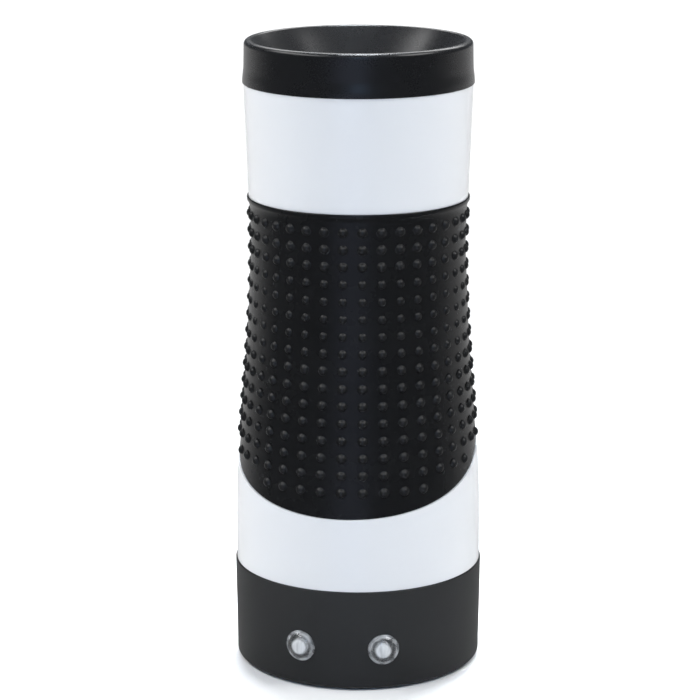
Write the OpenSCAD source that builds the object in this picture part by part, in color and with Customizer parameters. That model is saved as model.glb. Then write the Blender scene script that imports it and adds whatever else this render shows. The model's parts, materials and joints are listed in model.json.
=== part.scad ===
// Vertical egg cooker: a white waisted housing with a nubbed grip sleeve, a funnel collar above a
// heated cooking well, and a dark base that carries two indicator lamps and the wiring.
// Millimetres. +Z is up, the front faces -Y, and the origin is on the floor under the axis.

/* [Housing] */
// Height that the feet stand proud of the base
foot_proud = 0.8; // [0.4:0.1:1.6]
// Height of the base cup
base_h = 34.3; // [33:0.1:42]
// Height of the white shell between the base and the collar
shell_h = 165.5; // [160:0.5:180]
// Height of the collar above the shell
collar_h = 14.4; // [13:0.1:20]
// Diameter of the base at its upper edge
base_top_d = 85.2; // [84.4:0.2:88]
// Diameter of the base at the floor
base_bottom_d = 84.2; // [83:0.2:86]
// Rounding of the base's lower edge
base_round = 1.2; // [0.6:0.1:1.8]
// Diameter of the shell where it meets the base
shell_bottom_d = 84.2; // [83.4:0.2:86]
// Diameter of the shell at its waist
waist_d = 73.3; // [73:0.1:78]
// Diameter of the shell under the collar
shell_top_d = 77; // [76.4:0.2:80]
// Height of the waist above the shell's lower edge
waist_h = 109.4; // [95:0.2:125]
// Height above the shell's lower edge at which the flare is full
flare_h = 13.6; // [6:0.2:25]
// Wall of the shell
shell_wall = 3.2; // [2.8:0.1:3.5]
// Wall of the base cup
base_wall = 2.5; // [2.2:0.1:3]
// Floor of the base cup
base_floor = 2.4; // [2.2:0.1:3.5]
// Depth of the spigot with which the shell enters the base
spigot_h = 5.5; // [4:0.1:7]
// Wall of that spigot
spigot_wall = 2; // [1.6:0.1:2.4]

/* [Collar] */
// Diameter of the collar's side just below the rim
collar_d = 76.6; // [76:0.2:78.6]
// Diameter of the lip at the collar's lower edge
collar_lip_d = 77.8; // [77:0.2:81]
// Rounding of the rim's outer edge
rim_round = 1.6; // [1:0.1:2.6]
// Rounding of the rim's inner edge
rim_in_round = 1; // [0.8:0.1:2]
// Flat land on top of the rim
rim_land = 0.3; // [0.2:0.1:1.2]
// Wall of the collar
collar_wall = 2.4; // [2:0.1:2.8]
// Slope of the funnel below the horizontal
funnel_angle = 50; // [46:1:52]
// Rounding where the funnel turns into the throat
throat_round = 2; // [1:0.1:2.4]
// Depth of the collar's spigot in the shell
collar_spigot_h = 4.4; // [3:0.1:5.5]
// Diameter of the collar's screw bosses
collar_boss_d = 5.6; // [5:0.1:5.8]

/* [Grip sleeve] */
// Drop of the sleeve's upper edge below the shell's upper edge
grip_drop = 39.2; // [30:0.1:45]
// Height of the sleeve's lower edge at the front, above the shell's lower edge
grip_front_h = 24.9; // [20:0.1:35]
// Height of the sleeve's lower edge at the sides, above the shell's lower edge
grip_side_h = 40.7; // [36:0.1:48]
// Radius of the sweep in the sleeve's lower edge
grip_sweep_r = 190; // [150:1:260]
// Depth of the recess that the sleeve lies in
grip_recess = 1.5; // [1.2:0.1:1.7]
// Depth of the sleeve's face below the shell's outline
grip_sunk = 0.3; // [0.1:0.05:0.5]
// Height of the flared lip above the recess
grip_lip_h = 1.1; // [0.6:0.1:2]
// How far the flared lip stands out from the shell
grip_lip_proud = 0.55; // [0.3:0.05:0.9]
// Columns of nubs round the sleeve
nub_columns = 36; // [30:1:38]
// Rows of nubs
nub_rows = 16; // [10:1:16]
// Distance between the rows
nub_pitch = 5.82; // [5.2:0.02:6.2]
// Drop of the first row below the sleeve's upper edge
nub_drop = 5; // [4.6:0.1:8]
// Least height of a nub's middle above the sleeve's lower edge
nub_margin = 4.7; // [3:0.1:7]
// Diameter of a nub at the sleeve's face
nub_d = 3.3; // [2.4:0.1:3.8]
// Height of a nub
nub_h = 1.2; // [0.8:0.05:1.5]

/* [Cooking well] */
// Inside diameter of the well
well_d = 44; // [42:0.5:45]
// Depth of the well from its flange
well_depth = 148; // [140:1:150]
// Wall of the well
well_wall = 1.2; // [1:0.1:1.5]
// Floor of the well
well_floor = 1.6; // [1.4:0.1:3]
// Rounding between the well's wall and floor
well_round = 8; // [4:0.5:12]
// Diameter of the well's flange
flange_d = 56.8; // [56:0.2:57]
// Thickness of the flange
flange_t = 1.4; // [1:0.1:2]
// Thickness of each of the two seals
seal_t = 1.1; // [0.8:0.1:1.4]
// Depth of the shelf below the shell's upper edge
shelf_drop = 7.6; // [7.2:0.1:9]
// Thickness of the shelf
shelf_t = 3; // [2:0.1:4]
// Free gap between the well and the shelf
shelf_gap = 2.3; // [1.5:0.1:2.6]

/* [Heater] */
// Height of the mica sleeves
heater_h = 106; // [90:1:110]
// Drop of the mica sleeves below the shelf
heater_drop = 18; // [17:0.5:24]
// Thickness of each mica sleeve
mica_t = 0.5; // [0.3:0.05:0.6]
// Space between the mica sleeves
mica_space = 1.2; // [1.1:0.05:1.4]
// Diameter of the heating wire
element_d = 0.6; // [0.4:0.05:0.65]
// Turns of the heating wire
element_turns = 12; // [8:1:14]
// Thickness of the steel sheath
sheath_t = 0.5; // [0.4:0.05:0.8]
// Thickness of the insulating wrap
wrap_t = 4; // [2.5:0.1:4.2]
// Opening of the wrap at the rear, in degrees
wrap_gap_angle = 64; // [60:1:80]
// Diameter of the sheath's bolts
sheath_bolt_d = 3; // [2.5:0.1:3.2]
// Height of the sheath's clamping ears
ear_h = 14; // [10:0.5:18]
// Diameter of the thermal fuse
fuse_d = 4; // [3.4:0.1:4.4]
// Length of the thermal fuse's can
fuse_h = 12; // [9:0.5:16]

/* [Thermostat] */
// Diameter of the thermostat's cap
cap_d = 16.6; // [16.4:0.1:17]
// Height of the thermostat's cap
cap_h = 4.6; // [4.4:0.1:5.4]
// Wall of the cap
cap_t = 0.5; // [0.4:0.05:0.6]
// Diameter of the thermostat's body
body_d = 15; // [14.9:0.05:15.1]
// Height of the thermostat's body
body_h = 9.9; // [9.6:0.1:11]
// Rise of the snap disc
disc_rise = 0.3; // [0.2:0.02:0.34]
// Thickness of the snap disc
disc_t = 0.2; // [0.12:0.02:0.24]
// Diameter of the push pin
pin_d = 2.3; // [1.8:0.05:2.6]
// Free gap at each end of the push pin
pin_gap = 0.05; // [0.03:0.01:0.08]
// Reach of the contact arm from its bend to the pin
arm_reach = 3.6; // [3.4:0.1:3.8]
// Thickness of the contact arm
arm_t = 0.25; // [0.2:0.05:0.35]
// Spacing of the thermostat's two screws
ears_pitch = 24; // [23.9:0.1:26]
// Length of the terminal tabs below the body
tab_h = 9; // [8:0.5:10]

/* [Base fittings] */
// Height of the lamps above the base's lower edge
lens_h = 13.8; // [13:0.1:17]
// Angle of each lamp from the front
lens_angle = 19.6; // [18.5:0.1:28]
// Diameter of the lens's flange
lens_d = 10.6; // [9.8:0.1:11.4]
// Diameter of the lens's barrel
barrel_d = 8; // [7.6:0.1:8.4]
// Height of the lens's dome
dome_h = 2.2; // [1.6:0.1:3]
// Depth of the flat that a lens sits on
lens_seat = 0.8; // [0.6:0.05:1]
// Diameter of the lamp bulb
bulb_d = 5.2; // [4.4:0.1:5.4]
// Height of the cord gland above the base's lower edge
gland_h = 13.8; // [12:0.1:18]
// Bore of the cord gland
gland_bore_d = 6.6; // [5.6:0.1:7.2]
// Diameter of the gland's neck
gland_neck_d = 9.8; // [9.2:0.1:10.6]
// Depth of the flat that the gland sits on
gland_seat = 1.8; // [1.6:0.1:2]
// Distance of the base screws from the base's inside wall
base_screw_in = 7.6; // [7.4:0.05:8.1]
// Length of a base screw below its head
base_screw_l = 33; // [31:0.5:36]
// Distance of the feet from the base's lower edge
foot_in = 12.1; // [11.1:0.1:16]
// Diameter of a foot
foot_d = 11; // [8:0.5:12]
// Spacing of the terminal block's poles
pole_pitch = 8; // [7.6:0.1:8.6]
// Length of the terminal block
block_l = 14; // [13:0.5:15]
// Diameter of the leads between the terminals
wire_d = 2; // [1.6:0.1:2]
// Diameter of the lamps' leads
lamp_wire_d = 1; // [0.8:0.1:1]

/* [Clearances] */
// Gap where one moulding slides into another
fit_gap = 0.15; // [0.1:0.05:0.25]
// Gap between a thread and its hole
thread_gap = 0.05; // [0.03:0.01:0.1]
// Running gap of the push pin in its guide
run_gap = 0.06; // [0.03:0.01:0.09]

/* [Hidden] */
$fn = 96;
eps = 0.01;

// Heights of the joints between the mouldings
base_z0 = foot_proud;
base_z1 = base_z0 + base_h;
shell_z1 = base_z1 + shell_h;
rim_z = shell_z1 + collar_h;
floor_z = base_z0 + base_floor;
spigot_z0 = base_z1 - spigot_h;

// Outline of the shell
waist_z = base_z1 + waist_h;
flare_z = base_z1 + flare_h;
waist_r = waist_d / 2;
outline_steps = 44;
top_blend = 0.15;
function ease(t) = t * t * (3 - 2 * t);
function swell(t) = (1 + top_blend) * t * t / (t + top_blend);
function upper_r(z) = waist_r + (shell_top_d / 2 - waist_r) * swell((z - waist_z) / (shell_z1 - waist_z));
function lower_t(z) = min(1, (waist_z - z) / (waist_z - flare_z));
function lower_r(z) = waist_r + (shell_bottom_d / 2 - waist_r) * ease(lower_t(z));
function shell_r(z) = z >= waist_z ? upper_r(z) : lower_r(z);
function levels(z0, z1, n) = [for (i = [0 : n]) z0 + (z1 - z0) * i / n];
function outline(z0, z1, n, shift) = [for (z = levels(z0, z1, n)) [shell_r(z) + shift, z]];
function arc(c, r, a0, a1, n) = [
    for (i = [0 : n]) [c[0] + r * cos(a0 + (a1 - a0) * i / n), c[1] + r * sin(a0 + (a1 - a0) * i / n)]
];

// Base cup
base_in_r = min(base_bottom_d, base_top_d) / 2 - base_wall;
base_screw_circle = 2 * (base_in_r - base_screw_in);
foot_circle = base_bottom_d - 2 * foot_in;
function base_r(z) = (base_bottom_d + (base_top_d - base_bottom_d) * (z - base_z0) / base_h) / 2;
spigot_r = base_in_r - fit_gap;
post_d = 10;
shell_post_d = 8.4;
shell_post_h = 14;
post_angles = [0, 120, 240];
foot_angles = [60, 180, 300];
foot_sink = 1;
screw_recess = 6;

// Shelf, flange and collar
shelf_z1 = shell_z1 - shelf_drop;
shelf_z0 = shelf_z1 - shelf_t;
flange_z0 = shelf_z1 + seal_t;
flange_z1 = flange_z0 + flange_t;
collar_z0 = flange_z1 + seal_t;
tube_r = well_d / 2 + well_wall;
shelf_hole_r = tube_r + shelf_gap;
throat_r = well_d / 2 + 0.4;
foot_ring_r = flange_d / 2 - 0.4;
collar_circle = flange_d / 2 + 2 * fit_gap + collar_boss_d / 2;
collar_angles = [0, 120, 240];
collar_screw_l = 11;
collar_in_r = shell_r(shell_z1 - collar_spigot_h) - shell_wall - fit_gap;
funnel_c = [collar_d / 2 - rim_round - rim_land, rim_z - rim_in_round];
funnel_s = [funnel_c[0] - rim_in_round * sin(funnel_angle), funnel_c[1] + rim_in_round * cos(funnel_angle)];
funnel_l = (funnel_s[0] - throat_r - throat_round + throat_round * sin(funnel_angle)) / cos(funnel_angle);
throat_z = funnel_s[1] - funnel_l * sin(funnel_angle) - throat_round * cos(funnel_angle);
under_s = [funnel_s[0] + collar_wall * sin(funnel_angle), funnel_s[1] - collar_wall * cos(funnel_angle)];
function under_z(r) = under_s[1] - (under_s[0] - r) * tan(funnel_angle);
rim_under_z = under_z(collar_d / 2 - collar_wall) - 1;
rim_under_r = under_s[0] - (under_s[1] - rim_under_z) / tan(funnel_angle);
collar_lip_h = 0.7;
collar_side_h = rim_z - rim_round - shell_z1 - collar_lip_h;
function collar_flare(t) = 1 - t * t * (3 - 2 * t);
function collar_side(t) =
    (collar_d + (collar_lip_d - collar_d) * (0.58 * collar_flare(min(1, 2.4 * t)) + 0.42 * (1 - t))) / 2;

// Cooking well
well_z0 = flange_z1 - well_depth;
tube_z0 = well_z0 - well_floor;

// Grip sleeve
grip_z1 = shell_z1 - grip_drop;
grip_front_z = base_z1 + grip_front_h;
grip_side_z = base_z1 + grip_side_h;
grip_front_y = -shell_r(grip_front_z);
grip_chord = norm([grip_front_y, grip_side_z - grip_front_z]);
grip_lift = sqrt(pow(grip_sweep_r, 2) - pow(grip_chord / 2, 2));
sweep_y = grip_front_y / 2 - grip_lift * (grip_side_z - grip_front_z) / grip_chord;
sweep_z = (grip_front_z + grip_side_z) / 2 - grip_lift * grip_front_y / grip_chord;
function sweep_edge(y) = sweep_z - sqrt(pow(grip_sweep_r, 2) - pow(y - sweep_y, 2));
grip_z0 = grip_front_z - 3;
grip_steps = 26;
nub_ball_r = (pow(nub_d / 2, 2) + pow(nub_h, 2)) / (2 * nub_h);
function nub_z(i) = grip_z1 - nub_drop - nub_pitch * i;
function band_z(i) = nub_z(i - 0.5);
function band_r(i) = shell_r(band_z(i)) - grip_sunk;
grip_flare_z = band_z(0);
grip_bands = floor((grip_flare_z - grip_z0) / nub_pitch - 0.2);
function nub_fits(i, a) = nub_z(i) - sweep_edge(-shell_r(nub_z(i)) * cos(a)) >= nub_margin;

// Heater
mica_z1 = shelf_z0 - heater_drop;
mica_z0 = mica_z1 - heater_h;
mica_1_r = tube_r + mica_t;
element_r = mica_1_r + mica_space / 2;
mica_2_r = mica_1_r + mica_space;
sheath_r = mica_2_r + mica_t;
sheath_r1 = sheath_r + sheath_t;
sheath_z0 = mica_z0 + 4;
sheath_z1 = mica_z1 - 4;
sheath_slot = 2.8;
mica_slot = 8;
ear_t = 1;
ear_y1 = sheath_r1 + 6.1;
ear_levels = [sheath_z0 + 18, sheath_z1 - 18];
bolt_y = sheath_r1 + 3.3;
bolt_head_h = 2;
bolt_nut_h = 2.4;
tail_y = element_r + 1.2;
tail_z0 = mica_z0 - 4;
tail_z1 = mica_z1 + 2;
ferrule_h = 6;
ferrule_d = 2.6;
fuse_angle = 111.4;
fuse_r = sheath_r1 + 1.1 + fuse_d / 2;
fuse_x = fuse_r * cos(fuse_angle);
fuse_y = fuse_r * sin(fuse_angle);
fuse_z = (mica_z0 + mica_z1) / 2;
fuse_lead_h = 12;
fuse_lead_d = 1.2;

// Thermostat
cap_z0 = tube_z0 - cap_h;
cap_lip = 0.5;
disc_r = 6.9;
disc_z = tube_z0 - cap_t - (disc_rise + disc_t + 0.4);
guide_z1 = disc_z - disc_rise - 0.4;
guide_z0 = guide_z1 - 0.5;
thermo_z0 = guide_z0 - body_h;
thermo_floor_z = thermo_z0 + 1.5;
thermo_in_r = body_d / 2 - 1.4;
arm_z = thermo_z0 + 5.7;
arm_w = 3.6;
contact_x = 3.8;
contact_d = 1.8;
contact_h = 1;
tab_x = 5.3;
tab_t = 0.8;
tab_w = 6.3;
leg_w = 4;
tab_z0 = thermo_z0 - tab_h;
pin_z0 = arm_z + pin_gap;
pin_z1 = disc_z + disc_rise - pin_gap;
plate_t = 0.8;
ear_screw_d = 2.9;
ear_boss_d = 6.6;
ear_screw_l = 4.4;
ear_head_d = 5.2;
ear_head_h = 1.9;
spade_z0 = tab_z0 - 7;
spade_barrel_d = 3.6;
lug_x1 = ears_pitch / 2 + 9.5;
lug_z = cap_z0 - 1.5 * plate_t;

// Lamps, gland and terminal block
lens_z = base_z0 + lens_h;
lens_face = base_r(lens_z) - lens_seat;
boss_face = base_in_r - 1.3;
lens_flange_t = 1;
lens_edge = 0.3;
lens_skin = 1;
dome_inset = 0.5;
barrel_l = 8;
barrel_end = lens_face - barrel_l;
lens_bore_d = 6.2;
nut_t = 0.6;
nut_d = 13.2;
holder_t = 2;
holder_end = barrel_end - holder_t;
lead_gap = 1.4;
resistor_l = 6.5;
resistor_r0 = holder_end - 3 - resistor_l;
gland_z = base_z0 + gland_h;
gland_face = base_r(gland_z) - gland_seat;
gland_flange_d = gland_neck_d + 2.6;
block_y0 = 10;
block_w = 3 * pole_pitch;
block_h = 10;
pole_z = floor_z + 4.8;
block_screw_d = 2;
block_hole_d = block_screw_d + 2 * thread_gap;
pole_tube_d = pole_pitch - block_screw_d - 0.8;
pole_bore_d = 3.7;
pole_screw_d = 2.8;
pole_in = 4;
wire_in = 0.75;
lead_in = 0.95;

// Turns a piece so that its own Z axis points outward at an angle from the front
module radial(a, z) {
    rotate([0, 0, a])
        translate([0, 0, z])
            rotate([90, 0, 0])
                children();
}

module ring(r0, r1, z0, z1) {
    translate([0, 0, z0])
        difference() {
            cylinder(r = r1, h = z1 - z0);
            translate([0, 0, -1])
                cylinder(r = r0, h = z1 - z0 + 2);
        }
}

// A screw whose head is below Z = 0 and whose shank points up
module screw(d, l, head_d, head_h) {
    difference() {
        union() {
            cylinder(d = d, h = l);
            translate([0, 0, -head_h])
                cylinder(d1 = head_d - 0.8, d2 = head_d, h = head_h);
        }
        for (a = [0, 90])
            rotate([0, 0, a])
                translate([-head_d * 0.32, -0.3, -head_h - 1])
                    cube([head_d * 0.64, 0.6, 1 + head_h * 0.55]);
    }
}

// A round lead along a smooth path through the given points
function curve_at(p, i, t) =
    let (a = p[max(i - 1, 0)], b = p[i], c = p[i + 1], d = p[min(i + 2, len(p) - 1)])
    0.5 * (2 * b + t * (c - a) + t * t * (2 * a - 5 * b + 4 * c - d) + t * t * t * (3 * b - a - 3 * c + d));
function curve(p, n) = concat(
    [for (i = [0 : len(p) - 2]) for (j = [0 : n - 1]) curve_at(p, i, j / n)],
    [p[len(p) - 1]]
);
function unit(v) = v / norm(v);
function square_to(v, t) = unit(v - (v * t) * t);
// Directions along a path, which leaves and arrives squarely along its first and last legs
function headings(p, first, last) = [
    for (i = [0 : len(p) - 1])
        unit(i == 0 ? first : i == len(p) - 1 ? last : p[i + 1] - p[i - 1])
];
function sides_of(t) = [
    for (i = 0, v = square_to([0.31, 0.85, 0.43], t[0]); i < len(t);
        i = i + 1, v = i < len(t) ? square_to(v, t[i]) : v) v
];

module tube_along(p, first, last, d, sides) {
    t = headings(p, first, last);
    v = sides_of(t);
    n = len(p);
    points = [
        for (i = [0 : n - 1]) for (j = [0 : sides - 1])
            let (w = cross(t[i], v[i]), a = 360 * j / sides)
            p[i] + d / 2 * (cos(a) * v[i] + sin(a) * w)
    ];
    walls = [
        for (i = [0 : n - 2]) for (j = [0 : sides - 1]) for (k = [0, 1])
            let (a = i * sides + j, b = i * sides + (j + 1) % sides)
            k == 0 ? [a, a + sides, b] : [b, a + sides, b + sides]
    ];
    z = (n - 1) * sides;
    near_end = [for (j = [1 : sides - 2]) [0, j, j + 1]];
    far_end = [for (j = [1 : sides - 2]) [z, z + j + 1, z + j]];
    polyhedron(points = points, faces = concat(walls, near_end, far_end));
}

module lead(p, d) {
    n = len(p);
    tube_along(curve(p, 3), p[1] - p[0], p[n - 1] - p[n - 2], d, 8);
}

module base_cup() {
    outer = concat(
        [[0, base_z0]],
        arc([base_bottom_d / 2 - base_round, base_z0 + base_round], base_round, -90, 0, 5),
        [[base_top_d / 2, base_z1 - 0.4]],
        [[base_top_d / 2 - 0.4, base_z1]],
        [[base_in_r, base_z1], [base_in_r, floor_z], [0, floor_z]]
    );
    color("#2b2c2f")
        difference() {
            union() {
                rotate_extrude()
                    polygon(outer);
                for (a = post_angles)
                    rotate([0, 0, a])
                        translate([0, -base_screw_circle / 2, base_z0 + 0.5])
                            cylinder(d = post_d, h = spigot_z0 - base_z0 - 0.5);
                for (a = [-lens_angle, lens_angle])
                    radial(a, lens_z)
                        translate([0, 0, boss_face])
                            cylinder(d = nut_d + 1, h = base_in_r + 0.6 - boss_face);
                radial(180, gland_z)
                    translate([0, 0, boss_face])
                        cylinder(d = gland_flange_d + 2, h = base_in_r + 0.6 - boss_face);
            }
            for (a = post_angles)
                rotate([0, 0, a])
                    translate([0, -base_screw_circle / 2, 0]) {
                        cylinder(d = 7.4, h = base_z0 + screw_recess);
                        cylinder(d = 3.6, h = base_z1);
                    }
            for (a = foot_angles)
                rotate([0, 0, a])
                    translate([0, -foot_circle / 2, -1])
                        cylinder(d = foot_d + 2 * fit_gap, h = base_z0 + foot_sink + 1);
            for (a = [-lens_angle, lens_angle])
                radial(a, lens_z) {
                    translate([0, 0, boss_face - 4])
                        cylinder(d = barrel_d + 2 * fit_gap, h = 20);
                    translate([0, 0, lens_face])
                        cylinder(d = lens_d + 2 * fit_gap, h = 10);
                }
            radial(180, gland_z) {
                translate([0, 0, boss_face - 4])
                    cylinder(d = gland_neck_d, h = 20);
                translate([0, 0, gland_face])
                    cylinder(d = gland_flange_d + 2 * fit_gap, h = 10);
            }
            for (x = [-0.5, 0.5])
                translate([x * pole_pitch, block_y0 + block_l / 2, floor_z - 1.8])
                    cylinder(d = block_hole_d, h = 5);
        }
}

// Space inside the shell's wall, which the screw posts and their webs stay in
module shell_inside() {
    rotate_extrude()
        polygon(concat(
            [[0, spigot_z0], [spigot_r - 0.5, spigot_z0], [spigot_r - 0.5, base_z1 + 1]],
            outline(base_z1 + 1, base_z1 + shell_post_h + 12, 6, -shell_wall + 0.5),
            [[0, base_z1 + shell_post_h + 12]]
        ));
}

module grip_band(inner, outer) {
    intersection() {
        rotate_extrude()
            polygon(concat(
                outline(grip_z0, grip_z1, grip_steps, inner),
                [[waist_r + outer, grip_z1], [shell_bottom_d / 2 + outer, grip_z0]]
            ));
        above_sweep(0);
    }
}

module above_sweep(gap) {
    translate([-60, sweep_y, sweep_z])
        rotate([0, 90, 0])
            cylinder(r = grip_sweep_r - gap, h = 120);
}

module outer_shell() {
    inner_r1 = shell_r(shell_z1) - shell_wall;
    profile = concat(
        [[spigot_r - spigot_wall, spigot_z0], [spigot_r, spigot_z0], [spigot_r, base_z1]],
        outline(base_z1, shell_z1, outline_steps, 0),
        [[inner_r1, shell_z1]],
        [[shell_r(shelf_z1) - shell_wall, shelf_z1]],
        [[shelf_hole_r, shelf_z1], [shelf_hole_r, shelf_z0]],
        [for (z = levels(shelf_z0, base_z1 + 4, 30)) [shell_r(z) - shell_wall, z]],
        [[spigot_r - spigot_wall, base_z1 + 1.5]]
    );
    color("#f1f1f3")
        difference() {
            union() {
                rotate_extrude()
                    polygon(profile);
                intersection() {
                    for (a = post_angles)
                        rotate([0, 0, a]) {
                            translate([0, -base_screw_circle / 2, spigot_z0])
                                cylinder(d = shell_post_d, h = shell_post_h);
                            translate([-2.5, -shell_bottom_d / 2, spigot_z0])
                                cube([5, (shell_bottom_d - base_screw_circle) / 2, shell_post_h]);
                        }
                    shell_inside();
                }
            }
            grip_band(-grip_recess, 6);
            for (a = post_angles)
                rotate([0, 0, a])
                    translate([0, -base_screw_circle / 2, spigot_z0 - 1])
                        cylinder(d = 3 + 2 * thread_gap, h = shell_post_h - 1);
            for (a = collar_angles)
                rotate([0, 0, a])
                    translate([0, -collar_circle, shelf_z0 - 1])
                        cylinder(d = 3.4, h = shelf_t + 2);
        }
}

module grip_sleeve() {
    lip_z1 = grip_z1 + grip_lip_h;
    side = concat(
        [[shell_r(grip_z0) - grip_sunk, grip_z0]],
        [for (i = [grip_bands : -1 : 0]) [band_r(i), band_z(i)]],
        [for (i = [1 : 6])
            let (t = i / 6, z = grip_flare_z + (grip_z1 - grip_flare_z) * t)
            [shell_r(z) - grip_sunk + (grip_lip_proud + grip_sunk) * t * t, z]],
        [[shell_r(lip_z1) + grip_lip_proud - 0.1, lip_z1]],
        [[shell_r(lip_z1) + 0.15, lip_z1]],
        [[shell_r(grip_z1) + 0.12, grip_z1]]
    );
    back = [for (z = levels(grip_z1, grip_z0, grip_steps)) [shell_r(z) - grip_recess + thread_gap, z]];
    color("#1b1c20")
        intersection() {
            rotate_extrude()
                polygon(concat(side, back));
            above_sweep(fit_gap);
        }
}

// One grip nub: a low dome whose flat root rests on the sleeve's face
module nub() {
    intersection() {
        translate([0, 0, nub_h - nub_ball_r])
            sphere(r = nub_ball_r, $fn = 24);
        cylinder(d = 2 * nub_d, h = 2 * nub_h, $fn = 24);
    }
}

module grip_nubs() {
    color("#1e1f23")
        for (i = [0 : nub_rows - 1])
            for (j = [0 : nub_columns - 1])
                if (nub_fits(i, 360 * j / nub_columns))
                    radial(360 * j / nub_columns, nub_z(i))
                        translate([0, 0, (band_r(i) + band_r(i + 1)) / 2])
                            rotate([atan((band_r(i) - band_r(i + 1)) / nub_pitch), 0, 0])
                                nub();
}

module top_collar() {
    r = collar_d / 2;
    profile = concat(
        [[collar_in_r, shell_z1], [collar_lip_d / 2, shell_z1], [collar_lip_d / 2, shell_z1 + collar_lip_h]],
        [for (i = [1 : 9]) [collar_side(i / 10), shell_z1 + collar_lip_h + collar_side_h * i / 10]],
        arc([r - rim_round, rim_z - rim_round], rim_round, 0, 90, 8),
        arc(funnel_c, rim_in_round, 90, 90 + funnel_angle, 5),
        arc([throat_r + throat_round, throat_z], throat_round, 90 + funnel_angle, 180, 5),
        [[throat_r, collar_z0], [foot_ring_r, collar_z0], [foot_ring_r, under_z(foot_ring_r)]],
        [[rim_under_r, rim_under_z], [r - collar_wall, rim_under_z]],
        [[r - collar_wall, shell_z1 + 2.4], [collar_in_r - 1.7, shell_z1 + 2.4]],
        [[collar_in_r - 1.7, shell_z1 - collar_spigot_h], [collar_in_r, shell_z1 - collar_spigot_h]]
    );
    color("#202124")
        difference() {
            union() {
                rotate_extrude()
                    polygon(profile);
                for (a = collar_angles)
                    rotate([0, 0, a])
                        translate([0, -collar_circle, shelf_z1])
                            cylinder(d = collar_boss_d,
                                h = under_z(collar_circle - collar_boss_d / 2) + 1.4 - shelf_z1);
            }
            for (a = collar_angles)
                rotate([0, 0, a])
                    translate([0, -collar_circle, shelf_z1 - 1])
                        cylinder(d = 2.6 + 2 * thread_gap, h = collar_screw_l - shelf_t + 1.6);
        }
}

module collar_screws() {
    color("#b9bcc0")
        for (a = collar_angles)
            rotate([0, 0, a])
                translate([0, -collar_circle, shelf_z0])
                    screw(2.6, collar_screw_l, 5.2, 1.9);
}

module collar_seal() {
    color("#b5402f")
        ring(throat_r + 1, flange_d / 2 - 0.2, flange_z1, collar_z0);
}

module shelf_seal() {
    color("#b5402f")
        ring(shelf_hole_r, flange_d / 2 - 0.2, shelf_z1, flange_z0);
}

module cooking_tube() {
    r = well_d / 2;
    inner_round = well_round - well_wall;
    boss_x = ears_pitch / 2;
    profile = concat(
        [[0, tube_z0]],
        arc([tube_r - well_round, tube_z0 + well_round], well_round, -90, 0, 6),
        [[tube_r, flange_z0], [flange_d / 2, flange_z0], [flange_d / 2, flange_z1]],
        [[r + 0.5, flange_z1], [r, flange_z1 - 0.5]],
        arc([r - inner_round, well_z0 + inner_round], inner_round, 0, -90, 6),
        [[0, well_z0]]
    );
    color("#8c8f94")
        difference() {
            union() {
                rotate_extrude()
                    polygon(profile);
                for (x = [-boss_x, boss_x])
                    translate([x, 0, cap_z0])
                        cylinder(d = ear_boss_d, h = cap_h + well_floor / 2);
            }
            for (x = [-boss_x, boss_x])
                translate([x, 0, cap_z0 - 1])
                    cylinder(d = ear_screw_d + 2 * thread_gap, h = cap_h + 0.6);
        }
}

module inner_mica() {
    color("#c9b98f")
        ring(tube_r, mica_1_r, mica_z0, mica_z1);
}

module heating_element() {
    z0 = mica_z0 + 8;
    z1 = mica_z1 - 8;
    n = 24 * element_turns;
    coil = [
        for (i = [1 : n - 1])
            [element_r * cos(90 + 15 * i), element_r * sin(90 + 15 * i), z0 + (z1 - z0) * i / n]
    ];
    path = concat(
        [[0, tail_y, tail_z0], [0, tail_y, tail_z0 + 1.5], [0, element_r, mica_z0 + 1]],
        [[0, element_r, z0 - 2.4], [element_r * cos(93), element_r * sin(93), z0 - 0.7]],
        coil,
        [[element_r * cos(87), element_r * sin(87), z1 + 0.7], [0, element_r, z1 + 2.4]],
        [[0, element_r, mica_z1 - 1], [0, tail_y, tail_z1 - 1.5], [0, tail_y, tail_z1]]
    );
    color("#9a8f86")
        tube_along(path, [0, 0, 1], [0, 0, 1], element_d, 6);
}

module outer_mica() {
    color("#cbbd97")
        difference() {
            union() {
                ring(mica_2_r, sheath_r, mica_z0, mica_z1);
                ring(mica_1_r, mica_2_r + eps, mica_z0, mica_z0 + 2);
                ring(mica_1_r, mica_2_r + eps, mica_z1 - 2, mica_z1);
            }
            translate([-mica_slot / 2, 0, mica_z0 - 1])
                cube([mica_slot, sheath_r + 5, heater_h + 2]);
        }
}

module heater_sheath() {
    color("#a9adb2")
        difference() {
            union() {
                ring(sheath_r, sheath_r1, sheath_z0, sheath_z1);
                for (z = ear_levels)
                    for (x = [-sheath_slot / 2 - ear_t, sheath_slot / 2])
                        translate([x, sheath_r + 0.2, z - ear_h / 2])
                            cube([ear_t, ear_y1 - sheath_r - 0.2, ear_h]);
            }
            translate([-sheath_slot / 2, 0, sheath_z0 - 1])
                cube([sheath_slot, ear_y1 + 5, sheath_z1 - sheath_z0 + 2]);
            for (z = ear_levels)
                translate([-10, bolt_y, z])
                    rotate([0, 90, 0])
                        cylinder(d = sheath_bolt_d + 0.3, h = 20);
        }
}

module sheath_bolts() {
    x1 = sheath_slot / 2 + ear_t;
    color("#c2c5c9")
        for (z = ear_levels)
            translate([x1, bolt_y, z])
                rotate([0, -90, 0]) {
                    cylinder(d = sheath_bolt_d, h = 2 * x1 + bolt_nut_h + 1);
                    translate([0, 0, -bolt_head_h])
                        cylinder(d = sheath_bolt_d * 1.75, h = bolt_head_h, $fn = 6);
                }
}

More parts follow.
